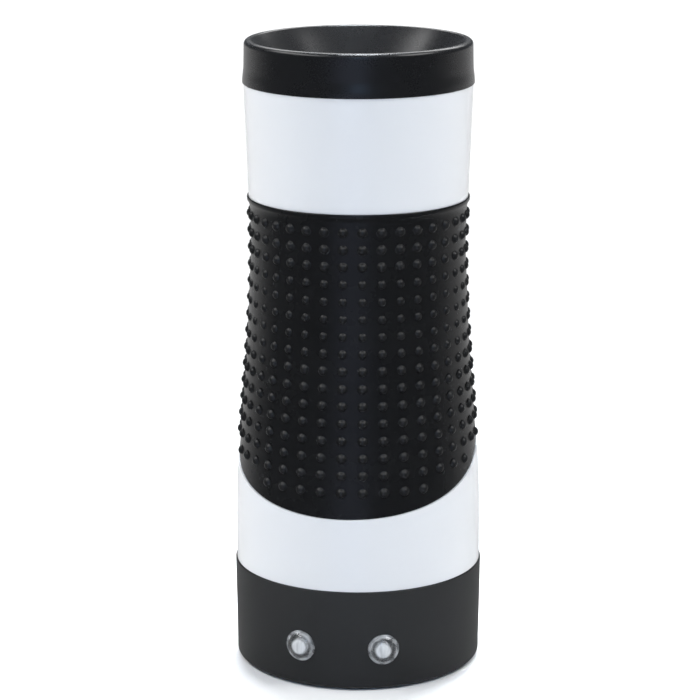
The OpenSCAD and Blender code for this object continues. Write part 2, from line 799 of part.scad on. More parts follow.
module sheath_nuts() {
    x1 = sheath_slot / 2 + ear_t;
    color("#b4b7bb")
        for (z = ear_levels)
            translate([-x1, bolt_y, z])
                rotate([0, -90, 0])
                    difference() {
                        cylinder(d = sheath_bolt_d * 1.8, h = bolt_nut_h, $fn = 6);
                        translate([0, 0, -1])
                            cylinder(d = sheath_bolt_d + 2 * thread_gap, h = bolt_nut_h + 2);
                    }
}

module insulation_wrap() {
    a = wrap_gap_angle / 2;
    s = 3 * sheath_r1;
    color("#e4dfd2")
        difference() {
            ring(sheath_r1, sheath_r1 + wrap_t, sheath_z0, sheath_z1);
            translate([0, 0, sheath_z0 - 1])
                linear_extrude(sheath_z1 - sheath_z0 + 2)
                    polygon([[0, 0], [s * sin(a), s * cos(a)], [-s * sin(a), s * cos(a)]]);
        }
}

module thermostat_cap() {
    r = cap_d / 2;
    color("#c4c7cb")
        rotate_extrude()
            polygon([
                [0, tube_z0], [r, tube_z0], [r, cap_z0], [body_d / 2 + 0.05, cap_z0],
                [body_d / 2 + 0.05, cap_z0 + cap_lip], [r - cap_t, cap_z0 + cap_lip],
                [r - cap_t, tube_z0 - cap_t], [0, tube_z0 - cap_t]
            ]);
}

module snap_disc() {
    ball = (pow(disc_r, 2) + pow(disc_rise, 2)) / (2 * disc_rise);
    a = asin(disc_r / ball);
    c = disc_z + disc_rise - ball;
    color("#b08d57")
        rotate_extrude()
            polygon(concat(
                arc([0, c], ball, 90, 90 - a, 6),
                arc([0, c + disc_t], ball, 90 - a, 90, 6)
            ));
}

module pin_guide() {
    r = cap_d / 2 - cap_t - 0.2;
    color("#e8e6df")
        rotate_extrude()
            polygon([
                [pin_d / 2 + run_gap, guide_z0], [r, guide_z0], [r, disc_z],
                [disc_r - 1, disc_z], [disc_r - 1.4, guide_z1], [pin_d / 2 + run_gap, guide_z1]
            ]);
}

module push_pin() {
    color("#f4f2ea") {
        translate([0, 0, pin_z0 + pin_d / 2])
            cylinder(d = pin_d, h = pin_z1 - pin_z0 - pin_d / 2);
        translate([0, 0, pin_z0 + pin_d / 2])
            sphere(d = pin_d);
    }
}

module thermostat_body() {
    color("#4a3328")
        difference() {
            union() {
                translate([0, 0, thermo_z0])
                    cylinder(d = body_d, h = body_h);
                translate([0, 0, cap_z0 + cap_lip])
                    cylinder(r = cap_d / 2 - cap_t - 0.05, h = guide_z0 - cap_z0 - cap_lip);
            }
            translate([0, 0, thermo_floor_z])
                cylinder(r = thermo_in_r, h = body_h);
            for (x = [-tab_x, tab_x])
                translate([x - tab_t / 2, -leg_w / 2, thermo_z0 - 1])
                    cube([tab_t, leg_w, thermo_floor_z - thermo_z0 + 2]);
        }
}

module contact_arm() {
    color("#c98b4a") {
        translate([-contact_x - contact_d / 2, -arm_w / 2, arm_z - arm_t])
            cube([contact_x + contact_d / 2 + arm_reach - 0.1, arm_w, arm_t]);
        translate([-contact_x, 0, arm_z - eps])
            cylinder(d = contact_d, h = contact_h + eps - 0.02);
    }
}

// A terminal leg with its tab: the leg goes through the body's floor
module terminal_leg(x, z1) {
    translate([x - tab_t / 2, -leg_w / 2, thermo_z0 - eps])
        cube([tab_t, leg_w, z1 - thermo_z0 + eps]);
    translate([x - tab_t / 2, -tab_w / 2, tab_z0])
        cube([tab_t, tab_w, tab_h]);
}

module arm_terminal() {
    color("#c9a24a")
        union() {
            terminal_leg(tab_x, arm_z - arm_t);
            translate([arm_reach + 0.05, -leg_w / 2, arm_z - arm_t - 0.8])
                cube([tab_x + tab_t / 2 - arm_reach - 0.05, leg_w, 0.8]);
            translate([arm_reach + 0.05, -arm_w / 2, arm_z - arm_t - eps])
                cube([tab_x - arm_reach, arm_w, arm_t + eps]);
        }
}

module contact_terminal() {
    z = arm_z + 2 * contact_h;
    color("#c9a24a")
        union() {
            terminal_leg(-tab_x, z - 0.2);
            translate([-tab_x - tab_t / 2, -leg_w / 2, z - 0.2])
                cube([tab_x + tab_t / 2 - contact_x + contact_d / 2, leg_w, 0.8]);
            translate([-contact_x, 0, z - contact_h])
                cylinder(d = contact_d, h = contact_h);
        }
}

module thermostat_flange() {
    color("#b7babe")
        difference() {
            union() {
                translate([0, 0, cap_z0 - plate_t])
                    cylinder(r = body_d / 2 + 2, h = plate_t);
                translate([-ears_pitch / 2, -3.2, cap_z0 - plate_t])
                    cube([ears_pitch, 6.4, plate_t]);
                for (x = [-ears_pitch / 2, ears_pitch / 2])
                    translate([x, 0, cap_z0 - plate_t])
                        cylinder(d = 6.4, h = plate_t);
            }
            translate([0, 0, cap_z0 - 2])
                cylinder(r = body_d / 2 + 0.05, h = 4);
            for (x = [-ears_pitch / 2, ears_pitch / 2])
                translate([x, 0, cap_z0 - 2])
                    cylinder(d = ear_screw_d + 0.3, h = 4);
        }
}

module thermostat_screws() {
    color("#c2c5c9") {
        translate([ears_pitch / 2, 0, cap_z0 - plate_t])
            screw(ear_screw_d, ear_screw_l, ear_head_d, ear_head_h);
        translate([-ears_pitch / 2, 0, cap_z0 - 2 * plate_t])
            screw(ear_screw_d, ear_screw_l + plate_t, ear_head_d, ear_head_h);
    }
}

module thermal_fuse() {
    r = fuse_d / 2;
    w = fuse_lead_d / 2;
    h = fuse_h / 2;
    e = h + fuse_lead_h;
    color("#c7b27a")
        translate([fuse_x, fuse_y, fuse_z])
            rotate_extrude()
                polygon([
                    [0, -e], [w, -e], [w, -h], [r - 0.4, -h], [r, 0.4 - h],
                    [r, h - 2], [w + 0.2, h], [w, h], [w, e], [0, e]
                ]);
}

module spade_connectors() {
    color("#cfc9b4")
        for (x = [-tab_x, tab_x])
            translate([x, 0, 0])
                difference() {
                    union() {
                        translate([-1.4, -4, tab_z0 - 1])
                            cube([2.8, 8, tab_h - 0.5]);
                        translate([0, 0, spade_z0])
                            cylinder(d = spade_barrel_d, h = tab_z0 - spade_z0);
                    }
                    translate([-tab_t / 2, -tab_w / 2, tab_z0])
                        cube([tab_t, tab_w, tab_h + 1]);
                }
}

module crimp_ferrules() {
    color("#cfc9b4")
        for (z = [tail_z0 - ferrule_h, tail_z1])
            translate([0, tail_y, z])
                cylinder(d = ferrule_d, h = ferrule_h);
}

module earth_lug() {
    x = ears_pitch / 2;
    color("#cfc9b4")
        difference() {
            union() {
                translate([-x, 0, cap_z0 - 2 * plate_t])
                    cylinder(d = 6.2, h = plate_t);
                translate([2 - lug_x1, -1.4, cap_z0 - 2 * plate_t])
                    cube([lug_x1 - x - 2, 2.8, plate_t]);
                translate([-lug_x1, 0, lug_z])
                    rotate([0, 90, 0])
                        cylinder(d = 2.8, h = 4.4);
            }
            translate([-x, 0, cap_z0 - 3 * plate_t])
                cylinder(d = ear_screw_d + 0.3, h = 4);
        }
}

module live_wire() {
    x = pole_pitch - wire_in;
    color("#7a4a2c")
        lead([
            [x, block_y0 + pole_in, pole_z], [x, block_y0, pole_z], [x - 0.4, block_y0 - 4, pole_z + 0.4],
            [tab_x + 0.6, 2.2, spade_z0 - 5.2], [tab_x, 0, spade_z0 - 2], [tab_x, 0, spade_z0]
        ], wire_d);
}

module fuse_wire() {
    y = fuse_y;
    fuse_end_z = fuse_z - fuse_h / 2 - fuse_lead_h;
    color("#d8d4c8")
        lead([
            [-tab_x, 0.75, spade_z0], [-tab_x, 0.75, spade_z0 - 1.5],
            [-tab_x - 0.5, 1.2, spade_z0 - 3.6], [-9, 3.5, pole_z + 4],
            [-block_w / 2 - 2, 8, pole_z + 6], [-block_w / 2 - 2.4, 18, pole_z + 14],
            [-13, y, tube_z0 - 12], [fuse_x - 0.6, y + 2.4, tube_z0 + 2], [fuse_x, y + 0.8, mica_z0],
            [fuse_x, y, fuse_end_z - 10], [fuse_x, y, fuse_end_z]
        ], wire_d);
}

module heater_wire() {
    color("#d8d4c8")
        lead([
            [fuse_x, fuse_y, fuse_z + fuse_h / 2 + fuse_lead_h], [fuse_x, fuse_y, mica_z1 - 6],
            [fuse_x + 0.2, fuse_y + 0.6, tail_z1 + 2], [-8.4, fuse_y + 1.2, tail_z1 + 8.6],
            [-4, fuse_y + 0.9, tail_z1 + 11.4], [-0.9, tail_y + 0.5, tail_z1 + 10],
            [0, tail_y, tail_z1 + ferrule_h + 2], [0, tail_y, tail_z1 + ferrule_h]
        ], wire_d);
}

module neutral_wire() {
    color("#3f62a8")
        lead([
            [-wire_in, block_y0 + pole_in, pole_z], [-wire_in, block_y0, pole_z],
            [-0.6, block_y0 - 3.5, pole_z + 0.6], [1, block_y0 - 4.2, pole_z + 5.6],
            [3, block_y0 - 0.5, pole_z + 12], [3.5, 17, tube_z0 - 19], [2.5, 24.5, tube_z0 - 10],
            [1, tail_y + 2, tube_z0 - 1], [0, tail_y + 0.4, tail_z0 - ferrule_h - 5],
            [0, tail_y, tail_z0 - ferrule_h - 2], [0, tail_y, tail_z0 - ferrule_h]
        ], wire_d);
}

module earth_wire() {
    x = -pole_pitch - wire_in;
    color("#6f9a3c")
        lead([
            [x, block_y0 + pole_in, pole_z], [x, block_y0, pole_z], [x - 0.4, block_y0 - 4, pole_z - 0.6],
            [-13, 3, pole_z], [-19, 2.2, pole_z + 8], [-24, 1, lug_z - 12], [-25.4, 0.2, lug_z - 4],
            [-lug_x1 - 2.2, 0, lug_z], [-lug_x1, 0, lug_z]
        ], wire_d);
}

module base_screws() {
    color("#b9bcc0")
        for (a = post_angles)
            rotate([0, 0, a])
                translate([0, -base_screw_circle / 2, base_z0 + screw_recess])
                    screw(3, base_screw_l, 6.4, 2.2);
}

module rubber_foot(i) {
    color("#17181a")
        rotate([0, 0, foot_angles[i]])
            translate([0, -foot_circle / 2, 0]) {
                cylinder(d1 = foot_d - 1, d2 = foot_d, h = 0.5);
                translate([0, 0, 0.5])
                    cylinder(d = foot_d, h = base_z0 + foot_sink - 0.5);
            }
}

module rubber_foot_1() {
    rubber_foot(0);
}

module rubber_foot_2() {
    rubber_foot(1);
}

module rubber_foot_3() {
    rubber_foot(2);
}

module lens(a) {
    r = lens_d / 2;
    f = lens_face + lens_flange_t;
    dome_r = r - dome_inset;
    ball = (pow(dome_r, 2) + pow(dome_h, 2)) / (2 * dome_h);
    reach = asin(dome_r / ball);
    profile = concat(
        [[lens_bore_d / 2, barrel_end], [barrel_d / 2, barrel_end], [barrel_d / 2, lens_face]],
        [[r, lens_face], [r, f - lens_edge], [r - lens_edge, f]],
        arc([0, f + dome_h - ball], ball, 90 - reach, 90, 7),
        [[0, f + dome_h - lens_skin], [lens_bore_d * 0.26, f + dome_h - 1.3 * lens_skin]],
        [[lens_bore_d / 2, f - 0.2 * lens_skin]]
    );
    color("#dfe6ea")
        radial(a, lens_z)
            rotate_extrude()
                polygon(profile);
}

module lens_left() {
    lens(-lens_angle);
}

module lens_right() {
    lens(lens_angle);
}

module lens_nut(a) {
    color("#a6a9ad")
        radial(a, lens_z)
            ring(barrel_d / 2, nut_d / 2, boss_face - nut_t, boss_face);
}

module lens_nut_left() {
    lens_nut(-lens_angle);
}

module lens_nut_right() {
    lens_nut(lens_angle);
}

module lamp_holder(a) {
    r = lens_bore_d / 2 - thread_gap;
    b = bulb_d / 2 + thread_gap;
    color("#efefec")
        radial(a, lens_z)
            rotate_extrude()
                polygon([
                    [0, holder_end], [4.4, holder_end], [4.4, barrel_end], [r, barrel_end],
                    [r, barrel_end + 3], [b, barrel_end + 3], [b, barrel_end - 0.6], [0, barrel_end - 0.6]
                ]);
}

module lamp_holder_left() {
    lamp_holder(-lens_angle);
}

module lamp_holder_right() {
    lamp_holder(lens_angle);
}

module lamp(a) {
    b = bulb_d / 2;
    z0 = barrel_end - 0.6;
    z1 = lens_face + lens_flange_t + dome_h - 2.2 - 1.6;
    color("#f2efe6")
        radial(a, lens_z)
            rotate_extrude()
                polygon(concat(
                    [[0, z0], [b, z0]],
                    [for (i = [0 : 5]) [b * cos(18 * i), z1 + 1.6 * sin(18 * i)]]
                ));
}

module lamp_left() {
    lamp(-lens_angle);
}

module lamp_right() {
    lamp(lens_angle);
}

// A point at an angle from the front, a distance from the axis and a height
function out_at(a, r, z) = [r * sin(a), -r * cos(a), z];

module lamp_leads(a, side) {
    z0 = lens_z - lead_gap;
    z1 = lens_z + lead_gap;
    inner_z = pole_z + 0.6 * side;
    color("#5d5f66") {
        lead([
            out_at(a, holder_end, z1), out_at(a, holder_end - 1.5, z1),
            out_at(a, resistor_r0 + resistor_l, z1)
        ], lamp_wire_d);
        if (side > 0)
            lead([
                out_at(a, resistor_r0, z1), out_at(a, resistor_r0 - 1, z1),
                [9, -13, pole_z + 3], [10.6, -5, pole_z], [10.3, 3, pole_z - 0.4],
                [pole_pitch + lead_in, block_y0 - 2, pole_z], [pole_pitch + lead_in, block_y0, pole_z],
                [pole_pitch + lead_in, block_y0 + pole_in, pole_z]
            ], lamp_wire_d);
        if (side < 0)
            lead([
                out_at(a, resistor_r0, z1), out_at(a, resistor_r0 - 1, z1),
                [-6.9, -13, spade_z0 - 4], [-tab_x - 0.5, -5, spade_z0 - 4.6],
                [-tab_x, -1, spade_z0 - 2], [-tab_x, -1, spade_z0]
            ], lamp_wire_d);
        lead([
            out_at(a, holder_end, z0), out_at(a, holder_end - 1, z0), out_at(a, holder_end - 3, z0 - 0.6),
            [6.6 * side, -15, pole_z - 1.5],
            [0.5 + 2.8 * side, -6, pole_z - 3], [0.8 + 1.8 * side, 0, pole_z - 3.1],
            [0.9 + 0.5 * side, 5.2, pole_z - 2.2 + 0.8 * side],
            [lead_in, block_y0 - 1.3, inner_z - 0.2], [lead_in, block_y0, inner_z],
            [lead_in, block_y0 + pole_in, inner_z]
        ], lamp_wire_d);
    }
}

module lamp_leads_left() {
    lamp_leads(-lens_angle, -1);
}

module lamp_leads_right() {
    lamp_leads(lens_angle, 1);
}

module resistor(a) {
    color("#b98d63")
        radial(a, lens_z + lead_gap)
            translate([0, 0, resistor_r0]) {
                cylinder(d = 2.2, h = resistor_l);
                cylinder(d = 2.6, h = 1.6);
                translate([0, 0, resistor_l - 1.6])
                    cylinder(d = 2.6, h = 1.6);
            }
}

module resistor_left() {
    resistor(-lens_angle);
}

module resistor_right() {
    resistor(lens_angle);
}

module along_poles() {
    for (i = [-1 : 1])
        translate([i * pole_pitch, block_y0, pole_z])
            rotate([-90, 0, 0])
                children();
}

module pole_screw_holes(d) {
    for (i = [-1 : 1])
        for (y = [pole_in - 0.8, block_l - pole_in + 0.8])
            translate([i * pole_pitch, block_y0 + y, pole_z])
                cylinder(d = d, h = block_h);
}

module terminal_block() {
    color("#e9e7de")
        difference() {
            translate([-block_w / 2, block_y0, floor_z])
                cube([block_w, block_l, block_h]);
            along_poles()
                translate([0, 0, -1])
                    cylinder(d = pole_tube_d, h = block_l + 2);
            pole_screw_holes(pole_screw_d + 0.4);
            for (x = [-0.5, 0.5])
                translate([x * pole_pitch, block_y0 + block_l / 2, floor_z - 1])
                    cylinder(d = block_hole_d, h = block_h + 2);
        }
}

module terminal_tubes() {
    color("#cdb15c")
        difference() {
            along_poles()
                cylinder(d = pole_tube_d, h = block_l);
            along_poles()
                translate([0, 0, -1])
                    cylinder(d = pole_bore_d, h = block_l + 2);
            pole_screw_holes(pole_screw_d + 2 * thread_gap);
        }
}

module terminal_screws() {
    z0 = pole_z + wire_d / 2 + 0.1;
    color("#b9bcc0")
        for (i = [-1 : 1])
            for (y = [pole_in - 0.8, block_l - pole_in + 0.8])
                translate([i * pole_pitch, block_y0 + y, z0])
                    difference() {
                        cylinder(d = pole_screw_d, h = floor_z + block_h - 0.6 - z0);
                        translate([-2, -0.25, floor_z + block_h - 1.4 - z0])
                            cube([4, 0.5, 2]);
                    }
}

module block_screws() {
    color("#b9bcc0")
        for (x = [-0.5, 0.5])
            translate([x * pole_pitch, block_y0 + block_l / 2, floor_z + block_h])
                rotate([180, 0, 0])
                    screw(block_screw_d, block_h + 1.6, 4, 1.4);
}

module cord_gland() {
    b = gland_bore_d / 2;
    n = gland_neck_d / 2;
    f = gland_flange_d / 2;
    color("#1a1b1d")
        radial(180, gland_z)
            rotate_extrude()
                polygon([
                    [b, boss_face - 1.4], [f - 0.5, boss_face - 1.4], [f - 0.2, boss_face],
                    [n, boss_face], [n, gland_face], [f, gland_face], [f, gland_face + 0.8],
                    [f - 0.6, gland_face + 1.4], [b, gland_face + 1.4]
                ]);
}

base_cup();
outer_shell();
grip_sleeve();
grip_nubs();
top_collar();
collar_screws();
collar_seal();
shelf_seal();
cooking_tube();
inner_mica();
heating_element();
outer_mica();
heater_sheath();
sheath_bolts();
sheath_nuts();
insulation_wrap();
thermostat_cap();
snap_disc();
pin_guide();
push_pin();
thermostat_body();
contact_arm();
arm_terminal();
contact_terminal();
thermostat_flange();
thermostat_screws();
thermal_fuse();
spade_connectors();
crimp_ferrules();
earth_lug();
live_wire();
fuse_wire();
heater_wire();
neutral_wire();
earth_wire();
base_screws();
rubber_foot_1();
rubber_foot_2();
rubber_foot_3();
lens_left();
lens_right();
lens_nut_left();
lens_nut_right();
lamp_holder_left();
lamp_holder_right();
lamp_left();
lamp_right();
lamp_leads_left();
lamp_leads_right();
resistor_left();
resistor_right();
terminal_block();
terminal_tubes();
terminal_screws();
block_screws();
cord_gland();
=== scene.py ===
import json
from math import asin, atan, cos, degrees, pi, radians, sin, sqrt, tan

import bmesh
import bpy
from mathutils import Matrix, Vector


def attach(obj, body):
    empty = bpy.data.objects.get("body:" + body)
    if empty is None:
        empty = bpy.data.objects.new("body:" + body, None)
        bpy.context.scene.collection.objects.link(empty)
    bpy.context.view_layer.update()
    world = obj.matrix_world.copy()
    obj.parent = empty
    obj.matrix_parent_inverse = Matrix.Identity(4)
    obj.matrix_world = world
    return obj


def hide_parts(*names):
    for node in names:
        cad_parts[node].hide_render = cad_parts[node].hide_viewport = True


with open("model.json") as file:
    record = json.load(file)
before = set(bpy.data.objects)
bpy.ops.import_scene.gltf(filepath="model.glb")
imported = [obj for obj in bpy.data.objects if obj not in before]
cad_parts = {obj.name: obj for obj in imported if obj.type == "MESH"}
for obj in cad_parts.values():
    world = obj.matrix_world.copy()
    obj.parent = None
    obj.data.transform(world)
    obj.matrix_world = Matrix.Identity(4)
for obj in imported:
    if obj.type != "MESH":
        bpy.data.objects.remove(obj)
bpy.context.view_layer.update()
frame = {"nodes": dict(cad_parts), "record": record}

MM = 0.001

# Sizes, in millimetres
SHELL_Z1 = 200.6
SHELL_FOOT_R = 42.1
SHELL_TOP_R = 38.5
WAIST_R = 36.65
WAIST_Z = 144.5
FLARE_Z = 48.7
RIM_Z = 215.0
GRIP_TOP_Z = 161.4
GRIP_FRONT_Z = 60.0
GRIP_SIDE_Z = 75.8
GRIP_SWEEP_R = 190.0
GRIP_SUNK = 0.3
GRIP_DEEP = 1.45
NUB_ROWS = 16
NUB_COLUMNS = 36
NUB_PITCH = 5.82
NUB_DROP = 5.0
NUB_MARGIN = 4.7
NUB_R = 1.65
NUB_H = 1.2
LENS_ANGLE = 19.6
LENS_Z = 14.6
LENS_FACE = 41.5
LENS_R = 5.3


def shell_r(z):
    """Radius of the shell's outside at a height."""
    if z >= WAIST_Z:
        t = (z - WAIST_Z) / (SHELL_Z1 - WAIST_Z)
        return WAIST_R + (SHELL_TOP_R - WAIST_R) * 1.15 * t * t / (t + 0.15)
    t = min(1, (WAIST_Z - z) / (WAIST_Z - FLARE_Z))
    return WAIST_R + (SHELL_FOOT_R - WAIST_R) * t * t * (3 - 2 * t)


class Flow:
    """A socket in a material: arithmetic on it adds Math nodes, and node() adds any other."""

    def __init__(self, tree, socket=None):
        self.tree = tree
        self.socket = socket

    def node(self, kind, settings={}, inputs={}, out=0):
        made = self.tree.nodes.new(kind)
        for key, value in settings.items():
            if key == "stops":
                ramp = made.color_ramp
                while len(ramp.elements) < len(value):
                    ramp.elements.new(0.5)
                for stop, (place, tone) in zip(ramp.elements, value):
                    stop.position = place
                    stop.color = (tone, tone, tone, 1)
            else:
                setattr(made, key, value)
        for key, value in inputs.items():
            if isinstance(value, Flow):
                self.tree.links.new(value.socket, made.inputs[key])
            else:
                made.inputs[key].default_value = value
        return Flow(self.tree, made.outputs[out])

    def math(self, operation, a, b):
        return self.node("ShaderNodeMath", {"operation": operation}, {0: a, 1: b})

    def __add__(self, other):
        return self.math("ADD", self, other)

    def __radd__(self, other):
        return self.math("ADD", other, self)

    def __sub__(self, other):
        return self.math("SUBTRACT", self, other)

    def __rsub__(self, other):
        return self.math("SUBTRACT", other, self)

    def __mul__(self, other):
        return self.math("MULTIPLY", self, other)

    def __rmul__(self, other):
        return self.math("MULTIPLY", other, self)

    def mix(self, low, high):
        """Blends two colours by this value."""
        return self.node("ShaderNodeMix", {"data_type": "RGBA"}, {0: self, 6: low, 7: high}, 2)

    def ramp(self, *stops):
        return self.node("ShaderNodeValToRGB", {"stops": stops}, {"Fac": self})

    def scaled(self, x, y, z):
        """Stretches the coordinates that a pattern reads."""
        return self.node("ShaderNodeMapping", {}, {"Vector": self, "Scale": (x, y, z)})

    def noise(self, scale, detail=2.0, roughness=0.5):
        inputs = {"Vector": self, "Scale": scale, "Detail": detail, "Roughness": roughness}
        return self.node("ShaderNodeTexNoise", {}, inputs)

    def cells(self, scale):
        return self.node("ShaderNodeTexVoronoi", {}, {"Vector": self, "Scale": scale})

    def bump(self, depth, strength=1.0):
        """Turns this height into a normal; depth is in metres."""
        inputs = {"Height": self, "Strength": strength, "Distance": depth}
        return self.node("ShaderNodeBump", {}, inputs)


def shade(colour, share):
    return tuple(min(1.0, c * share) for c in colour[:3]) + (1.0,)


def finish(name, fixed, paint):
    """A material: fixed holds its constant sockets, paint(place) gives the sockets that vary."""
    made = bpy.data.materials.new(name)
    made.use_nodes = True
    tree = made.node_tree
    shader = tree.nodes["Principled BSDF"]
    for key, value in fixed.items():
        shader.inputs[key].default_value = value
    place = Flow(tree).node("ShaderNodeTexCoord", out="Object")
    for key, flow in paint(place).items():
        tree.links.new(flow.socket, shader.inputs[key])
    return made


def moulded(name, colour, rough, grain=0.000012, grain_scale=2600, tone=0.05, shine=0.5):
    """Injection-moulded plastic: a fine spark-eroded grain, slight flow tone and uneven gloss."""
    def paint(place):
        cloud = place.noise(38, 3)
        pits = place.noise(grain_scale, 2, 0.6)
        return {
            "Base Color": cloud.mix(shade(colour, 1 - tone), shade(colour, 1 + tone)),
            "Roughness": rough - 0.04 + cloud * 0.08 + pits * 0.03,
            "Normal": pits.bump(grain),
        }
    return finish(name, {"Specular IOR Level": shine}, paint)


def rubbery(name, colour, rough, grain=0.00002, shine=0.5):
    """Moulded rubber: soft skin with fine pores and a dusty bloom."""
    def paint(place):
        bloom = place.noise(55, 4, 0.6)
        pores = place.noise(1900, 3, 0.65)
        return {
            "Base Color": (bloom * pores * 1.6).mix(shade(colour, 0.8), shade(colour, 1.35)),
            "Roughness": rough - 0.04 + bloom * 0.08,
            "Normal": pores.bump(grain),
        }
    return finish(name, {"Specular IOR Level": shine}, paint)


def metal(name, colour, rough, stretch=(1, 1, 1), grain=0.000004, scale=900, stain=0.12):
    """Worked metal: drawn or rolled streaks along the short stretch axis, with light tarnish."""
    def paint(place):
        streak = place.scaled(*stretch).noise(scale, 3, 0.6)
        tarnish = place.noise(120, 4, 0.6)
        return {
            "Base Color": tarnish.mix(shade(colour, 1 - stain), shade(colour, 1 + stain / 3)),
            "Roughness": rough - 0.06 + streak * 0.08 + tarnish * 0.06,
            "Normal": streak.bump(grain),
        }
    return finish(name, {"Metallic": 1.0}, paint)


def fibrous(name, colour, rough, scale, stretch=(1, 1, 1), depth=0.0001):
    """Felted or laminated sheet: matted fibres or flakes with an uneven tone."""
    def paint(place):
        fibre = place.scaled(*stretch).noise(scale, 5, 0.7)
        flake = place.cells(scale * 0.4)
        return {
            "Base Color": (fibre * 0.7 + flake * 0.3).mix(shade(colour, 0.68), shade(colour, 1.2)),
            "Roughness": rough - 0.1 + fibre * 0.2,
            "Normal": fibre.bump(depth),
        }
    return finish(name, {}, paint)


def non_stick(name, colour):
    """Sprayed non-stick coating on aluminium: a fine speckle in a satin dark film."""
    def paint(place):
        speck = place.noise(3200, 2, 0.7).ramp((0.6, 0.0), (0.72, 1.0))
        cloud = place.noise(60, 3)
        return {
            "Base Color": speck.mix(shade(colour, 0.9), shade(colour, 2.1)),
            "Roughness": 0.3 + cloud * 0.1,
            "Normal": place.noise(1500, 2).bump(0.00001),
        }
    return finish(name, {"Metallic": 0.35}, paint)


def lens_radius(place, inward, rise):
    """Distance from a line shifted from the nearer lens's middle, as a share of its radius."""
    turn = radians(LENS_ANGLE)
    x, y, z = (place.node("ShaderNodeSeparateXYZ", {}, {0: place}, axis) for axis in range(3))
    across = x.math("ABSOLUTE", x, 0) * cos(turn) + y * sin(turn) + inward * MM
    up = z - (LENS_Z + rise) * MM
    square = across * across + up * up
    return square.math("POWER", square, 0.5) * (1 / (LENS_R * MM))


def clear_plastic(name, colour):
    """Clear moulded lens: the lamp's whitish face drawn on its middle with upright streaks and
    painted bright for the light that reaches the lamp through the lens, a paler flange, painted
    uneven light in the flange and the gap, and a darker base colour between them.
    """
    def paint(place):
        flute = place.scaled(1, 1, 0.15).noise(1100, 2)
        # painted bright middle: the lamp's whitish face drawn on the dome, brighter than light
        # through the lens would make it
        core = lens_radius(place, 0.5, 0.2).ramp((0.4, 1.0), (0.6, 0.0))
        flange = lens_radius(place, 0, 0).ramp((0.7, 0.0), (0.84, 1.0))
        # painted uneven light in the flange and the gap, standing for light bent through the clear
        # plastic
        uneven_painted_light = place.noise(330, 1).ramp((0.38, 0.0), (0.66, 1.0))
        ring = flange * (0.36 + uneven_painted_light * 0.28)
        gap = (1 - core) * uneven_painted_light * 0.18
        painted_light_and_pale_flange = core * (0.65 + flute * 0.6) + ring + gap
        return {
            # dark grey where nothing is painted, pale where the painted light and the paler flange
            # are
            "Base Color": painted_light_and_pale_flange.mix(shade(colour, 0.2), colour),
            "Roughness": 0.04 + painted_light_and_pale_flange * 0.08,
            "Alpha": 0.35 + painted_light_and_pale_flange * 0.65,
            "Normal": flute.bump(0.00003),
        }
    return finish(name, {"Transmission Weight": 0.4, "IOR": 1.49}, paint)


def frosted_glass(name, colour):
    """Frosted lamp envelope: pale and milky, with upright streaks."""
    def paint(place):
        streak = place.scaled(1, 1, 0.12).noise(900, 2)
        return {
            "Base Color": streak.mix(shade(colour, 0.78), colour),
            "Roughness": 0.35 + streak * 0.2,
            "Normal": streak.bump(0.00002),
        }
    return finish(name, {}, paint)


def insulated(name, colour):
    """Extruded lead insulation: a smooth skin with drawn lines and slight dulling."""
    def paint(place):
        dull = place.noise(140, 3)
        skin = place.noise(1400, 2)
        return {
            "Base Color": dull.mix(shade(colour, 0.85), shade(colour, 1.1)),
            "Roughness": 0.34 + dull * 0.14,
            "Normal": skin.bump(0.000012),
        }
    return finish(name, {}, paint)


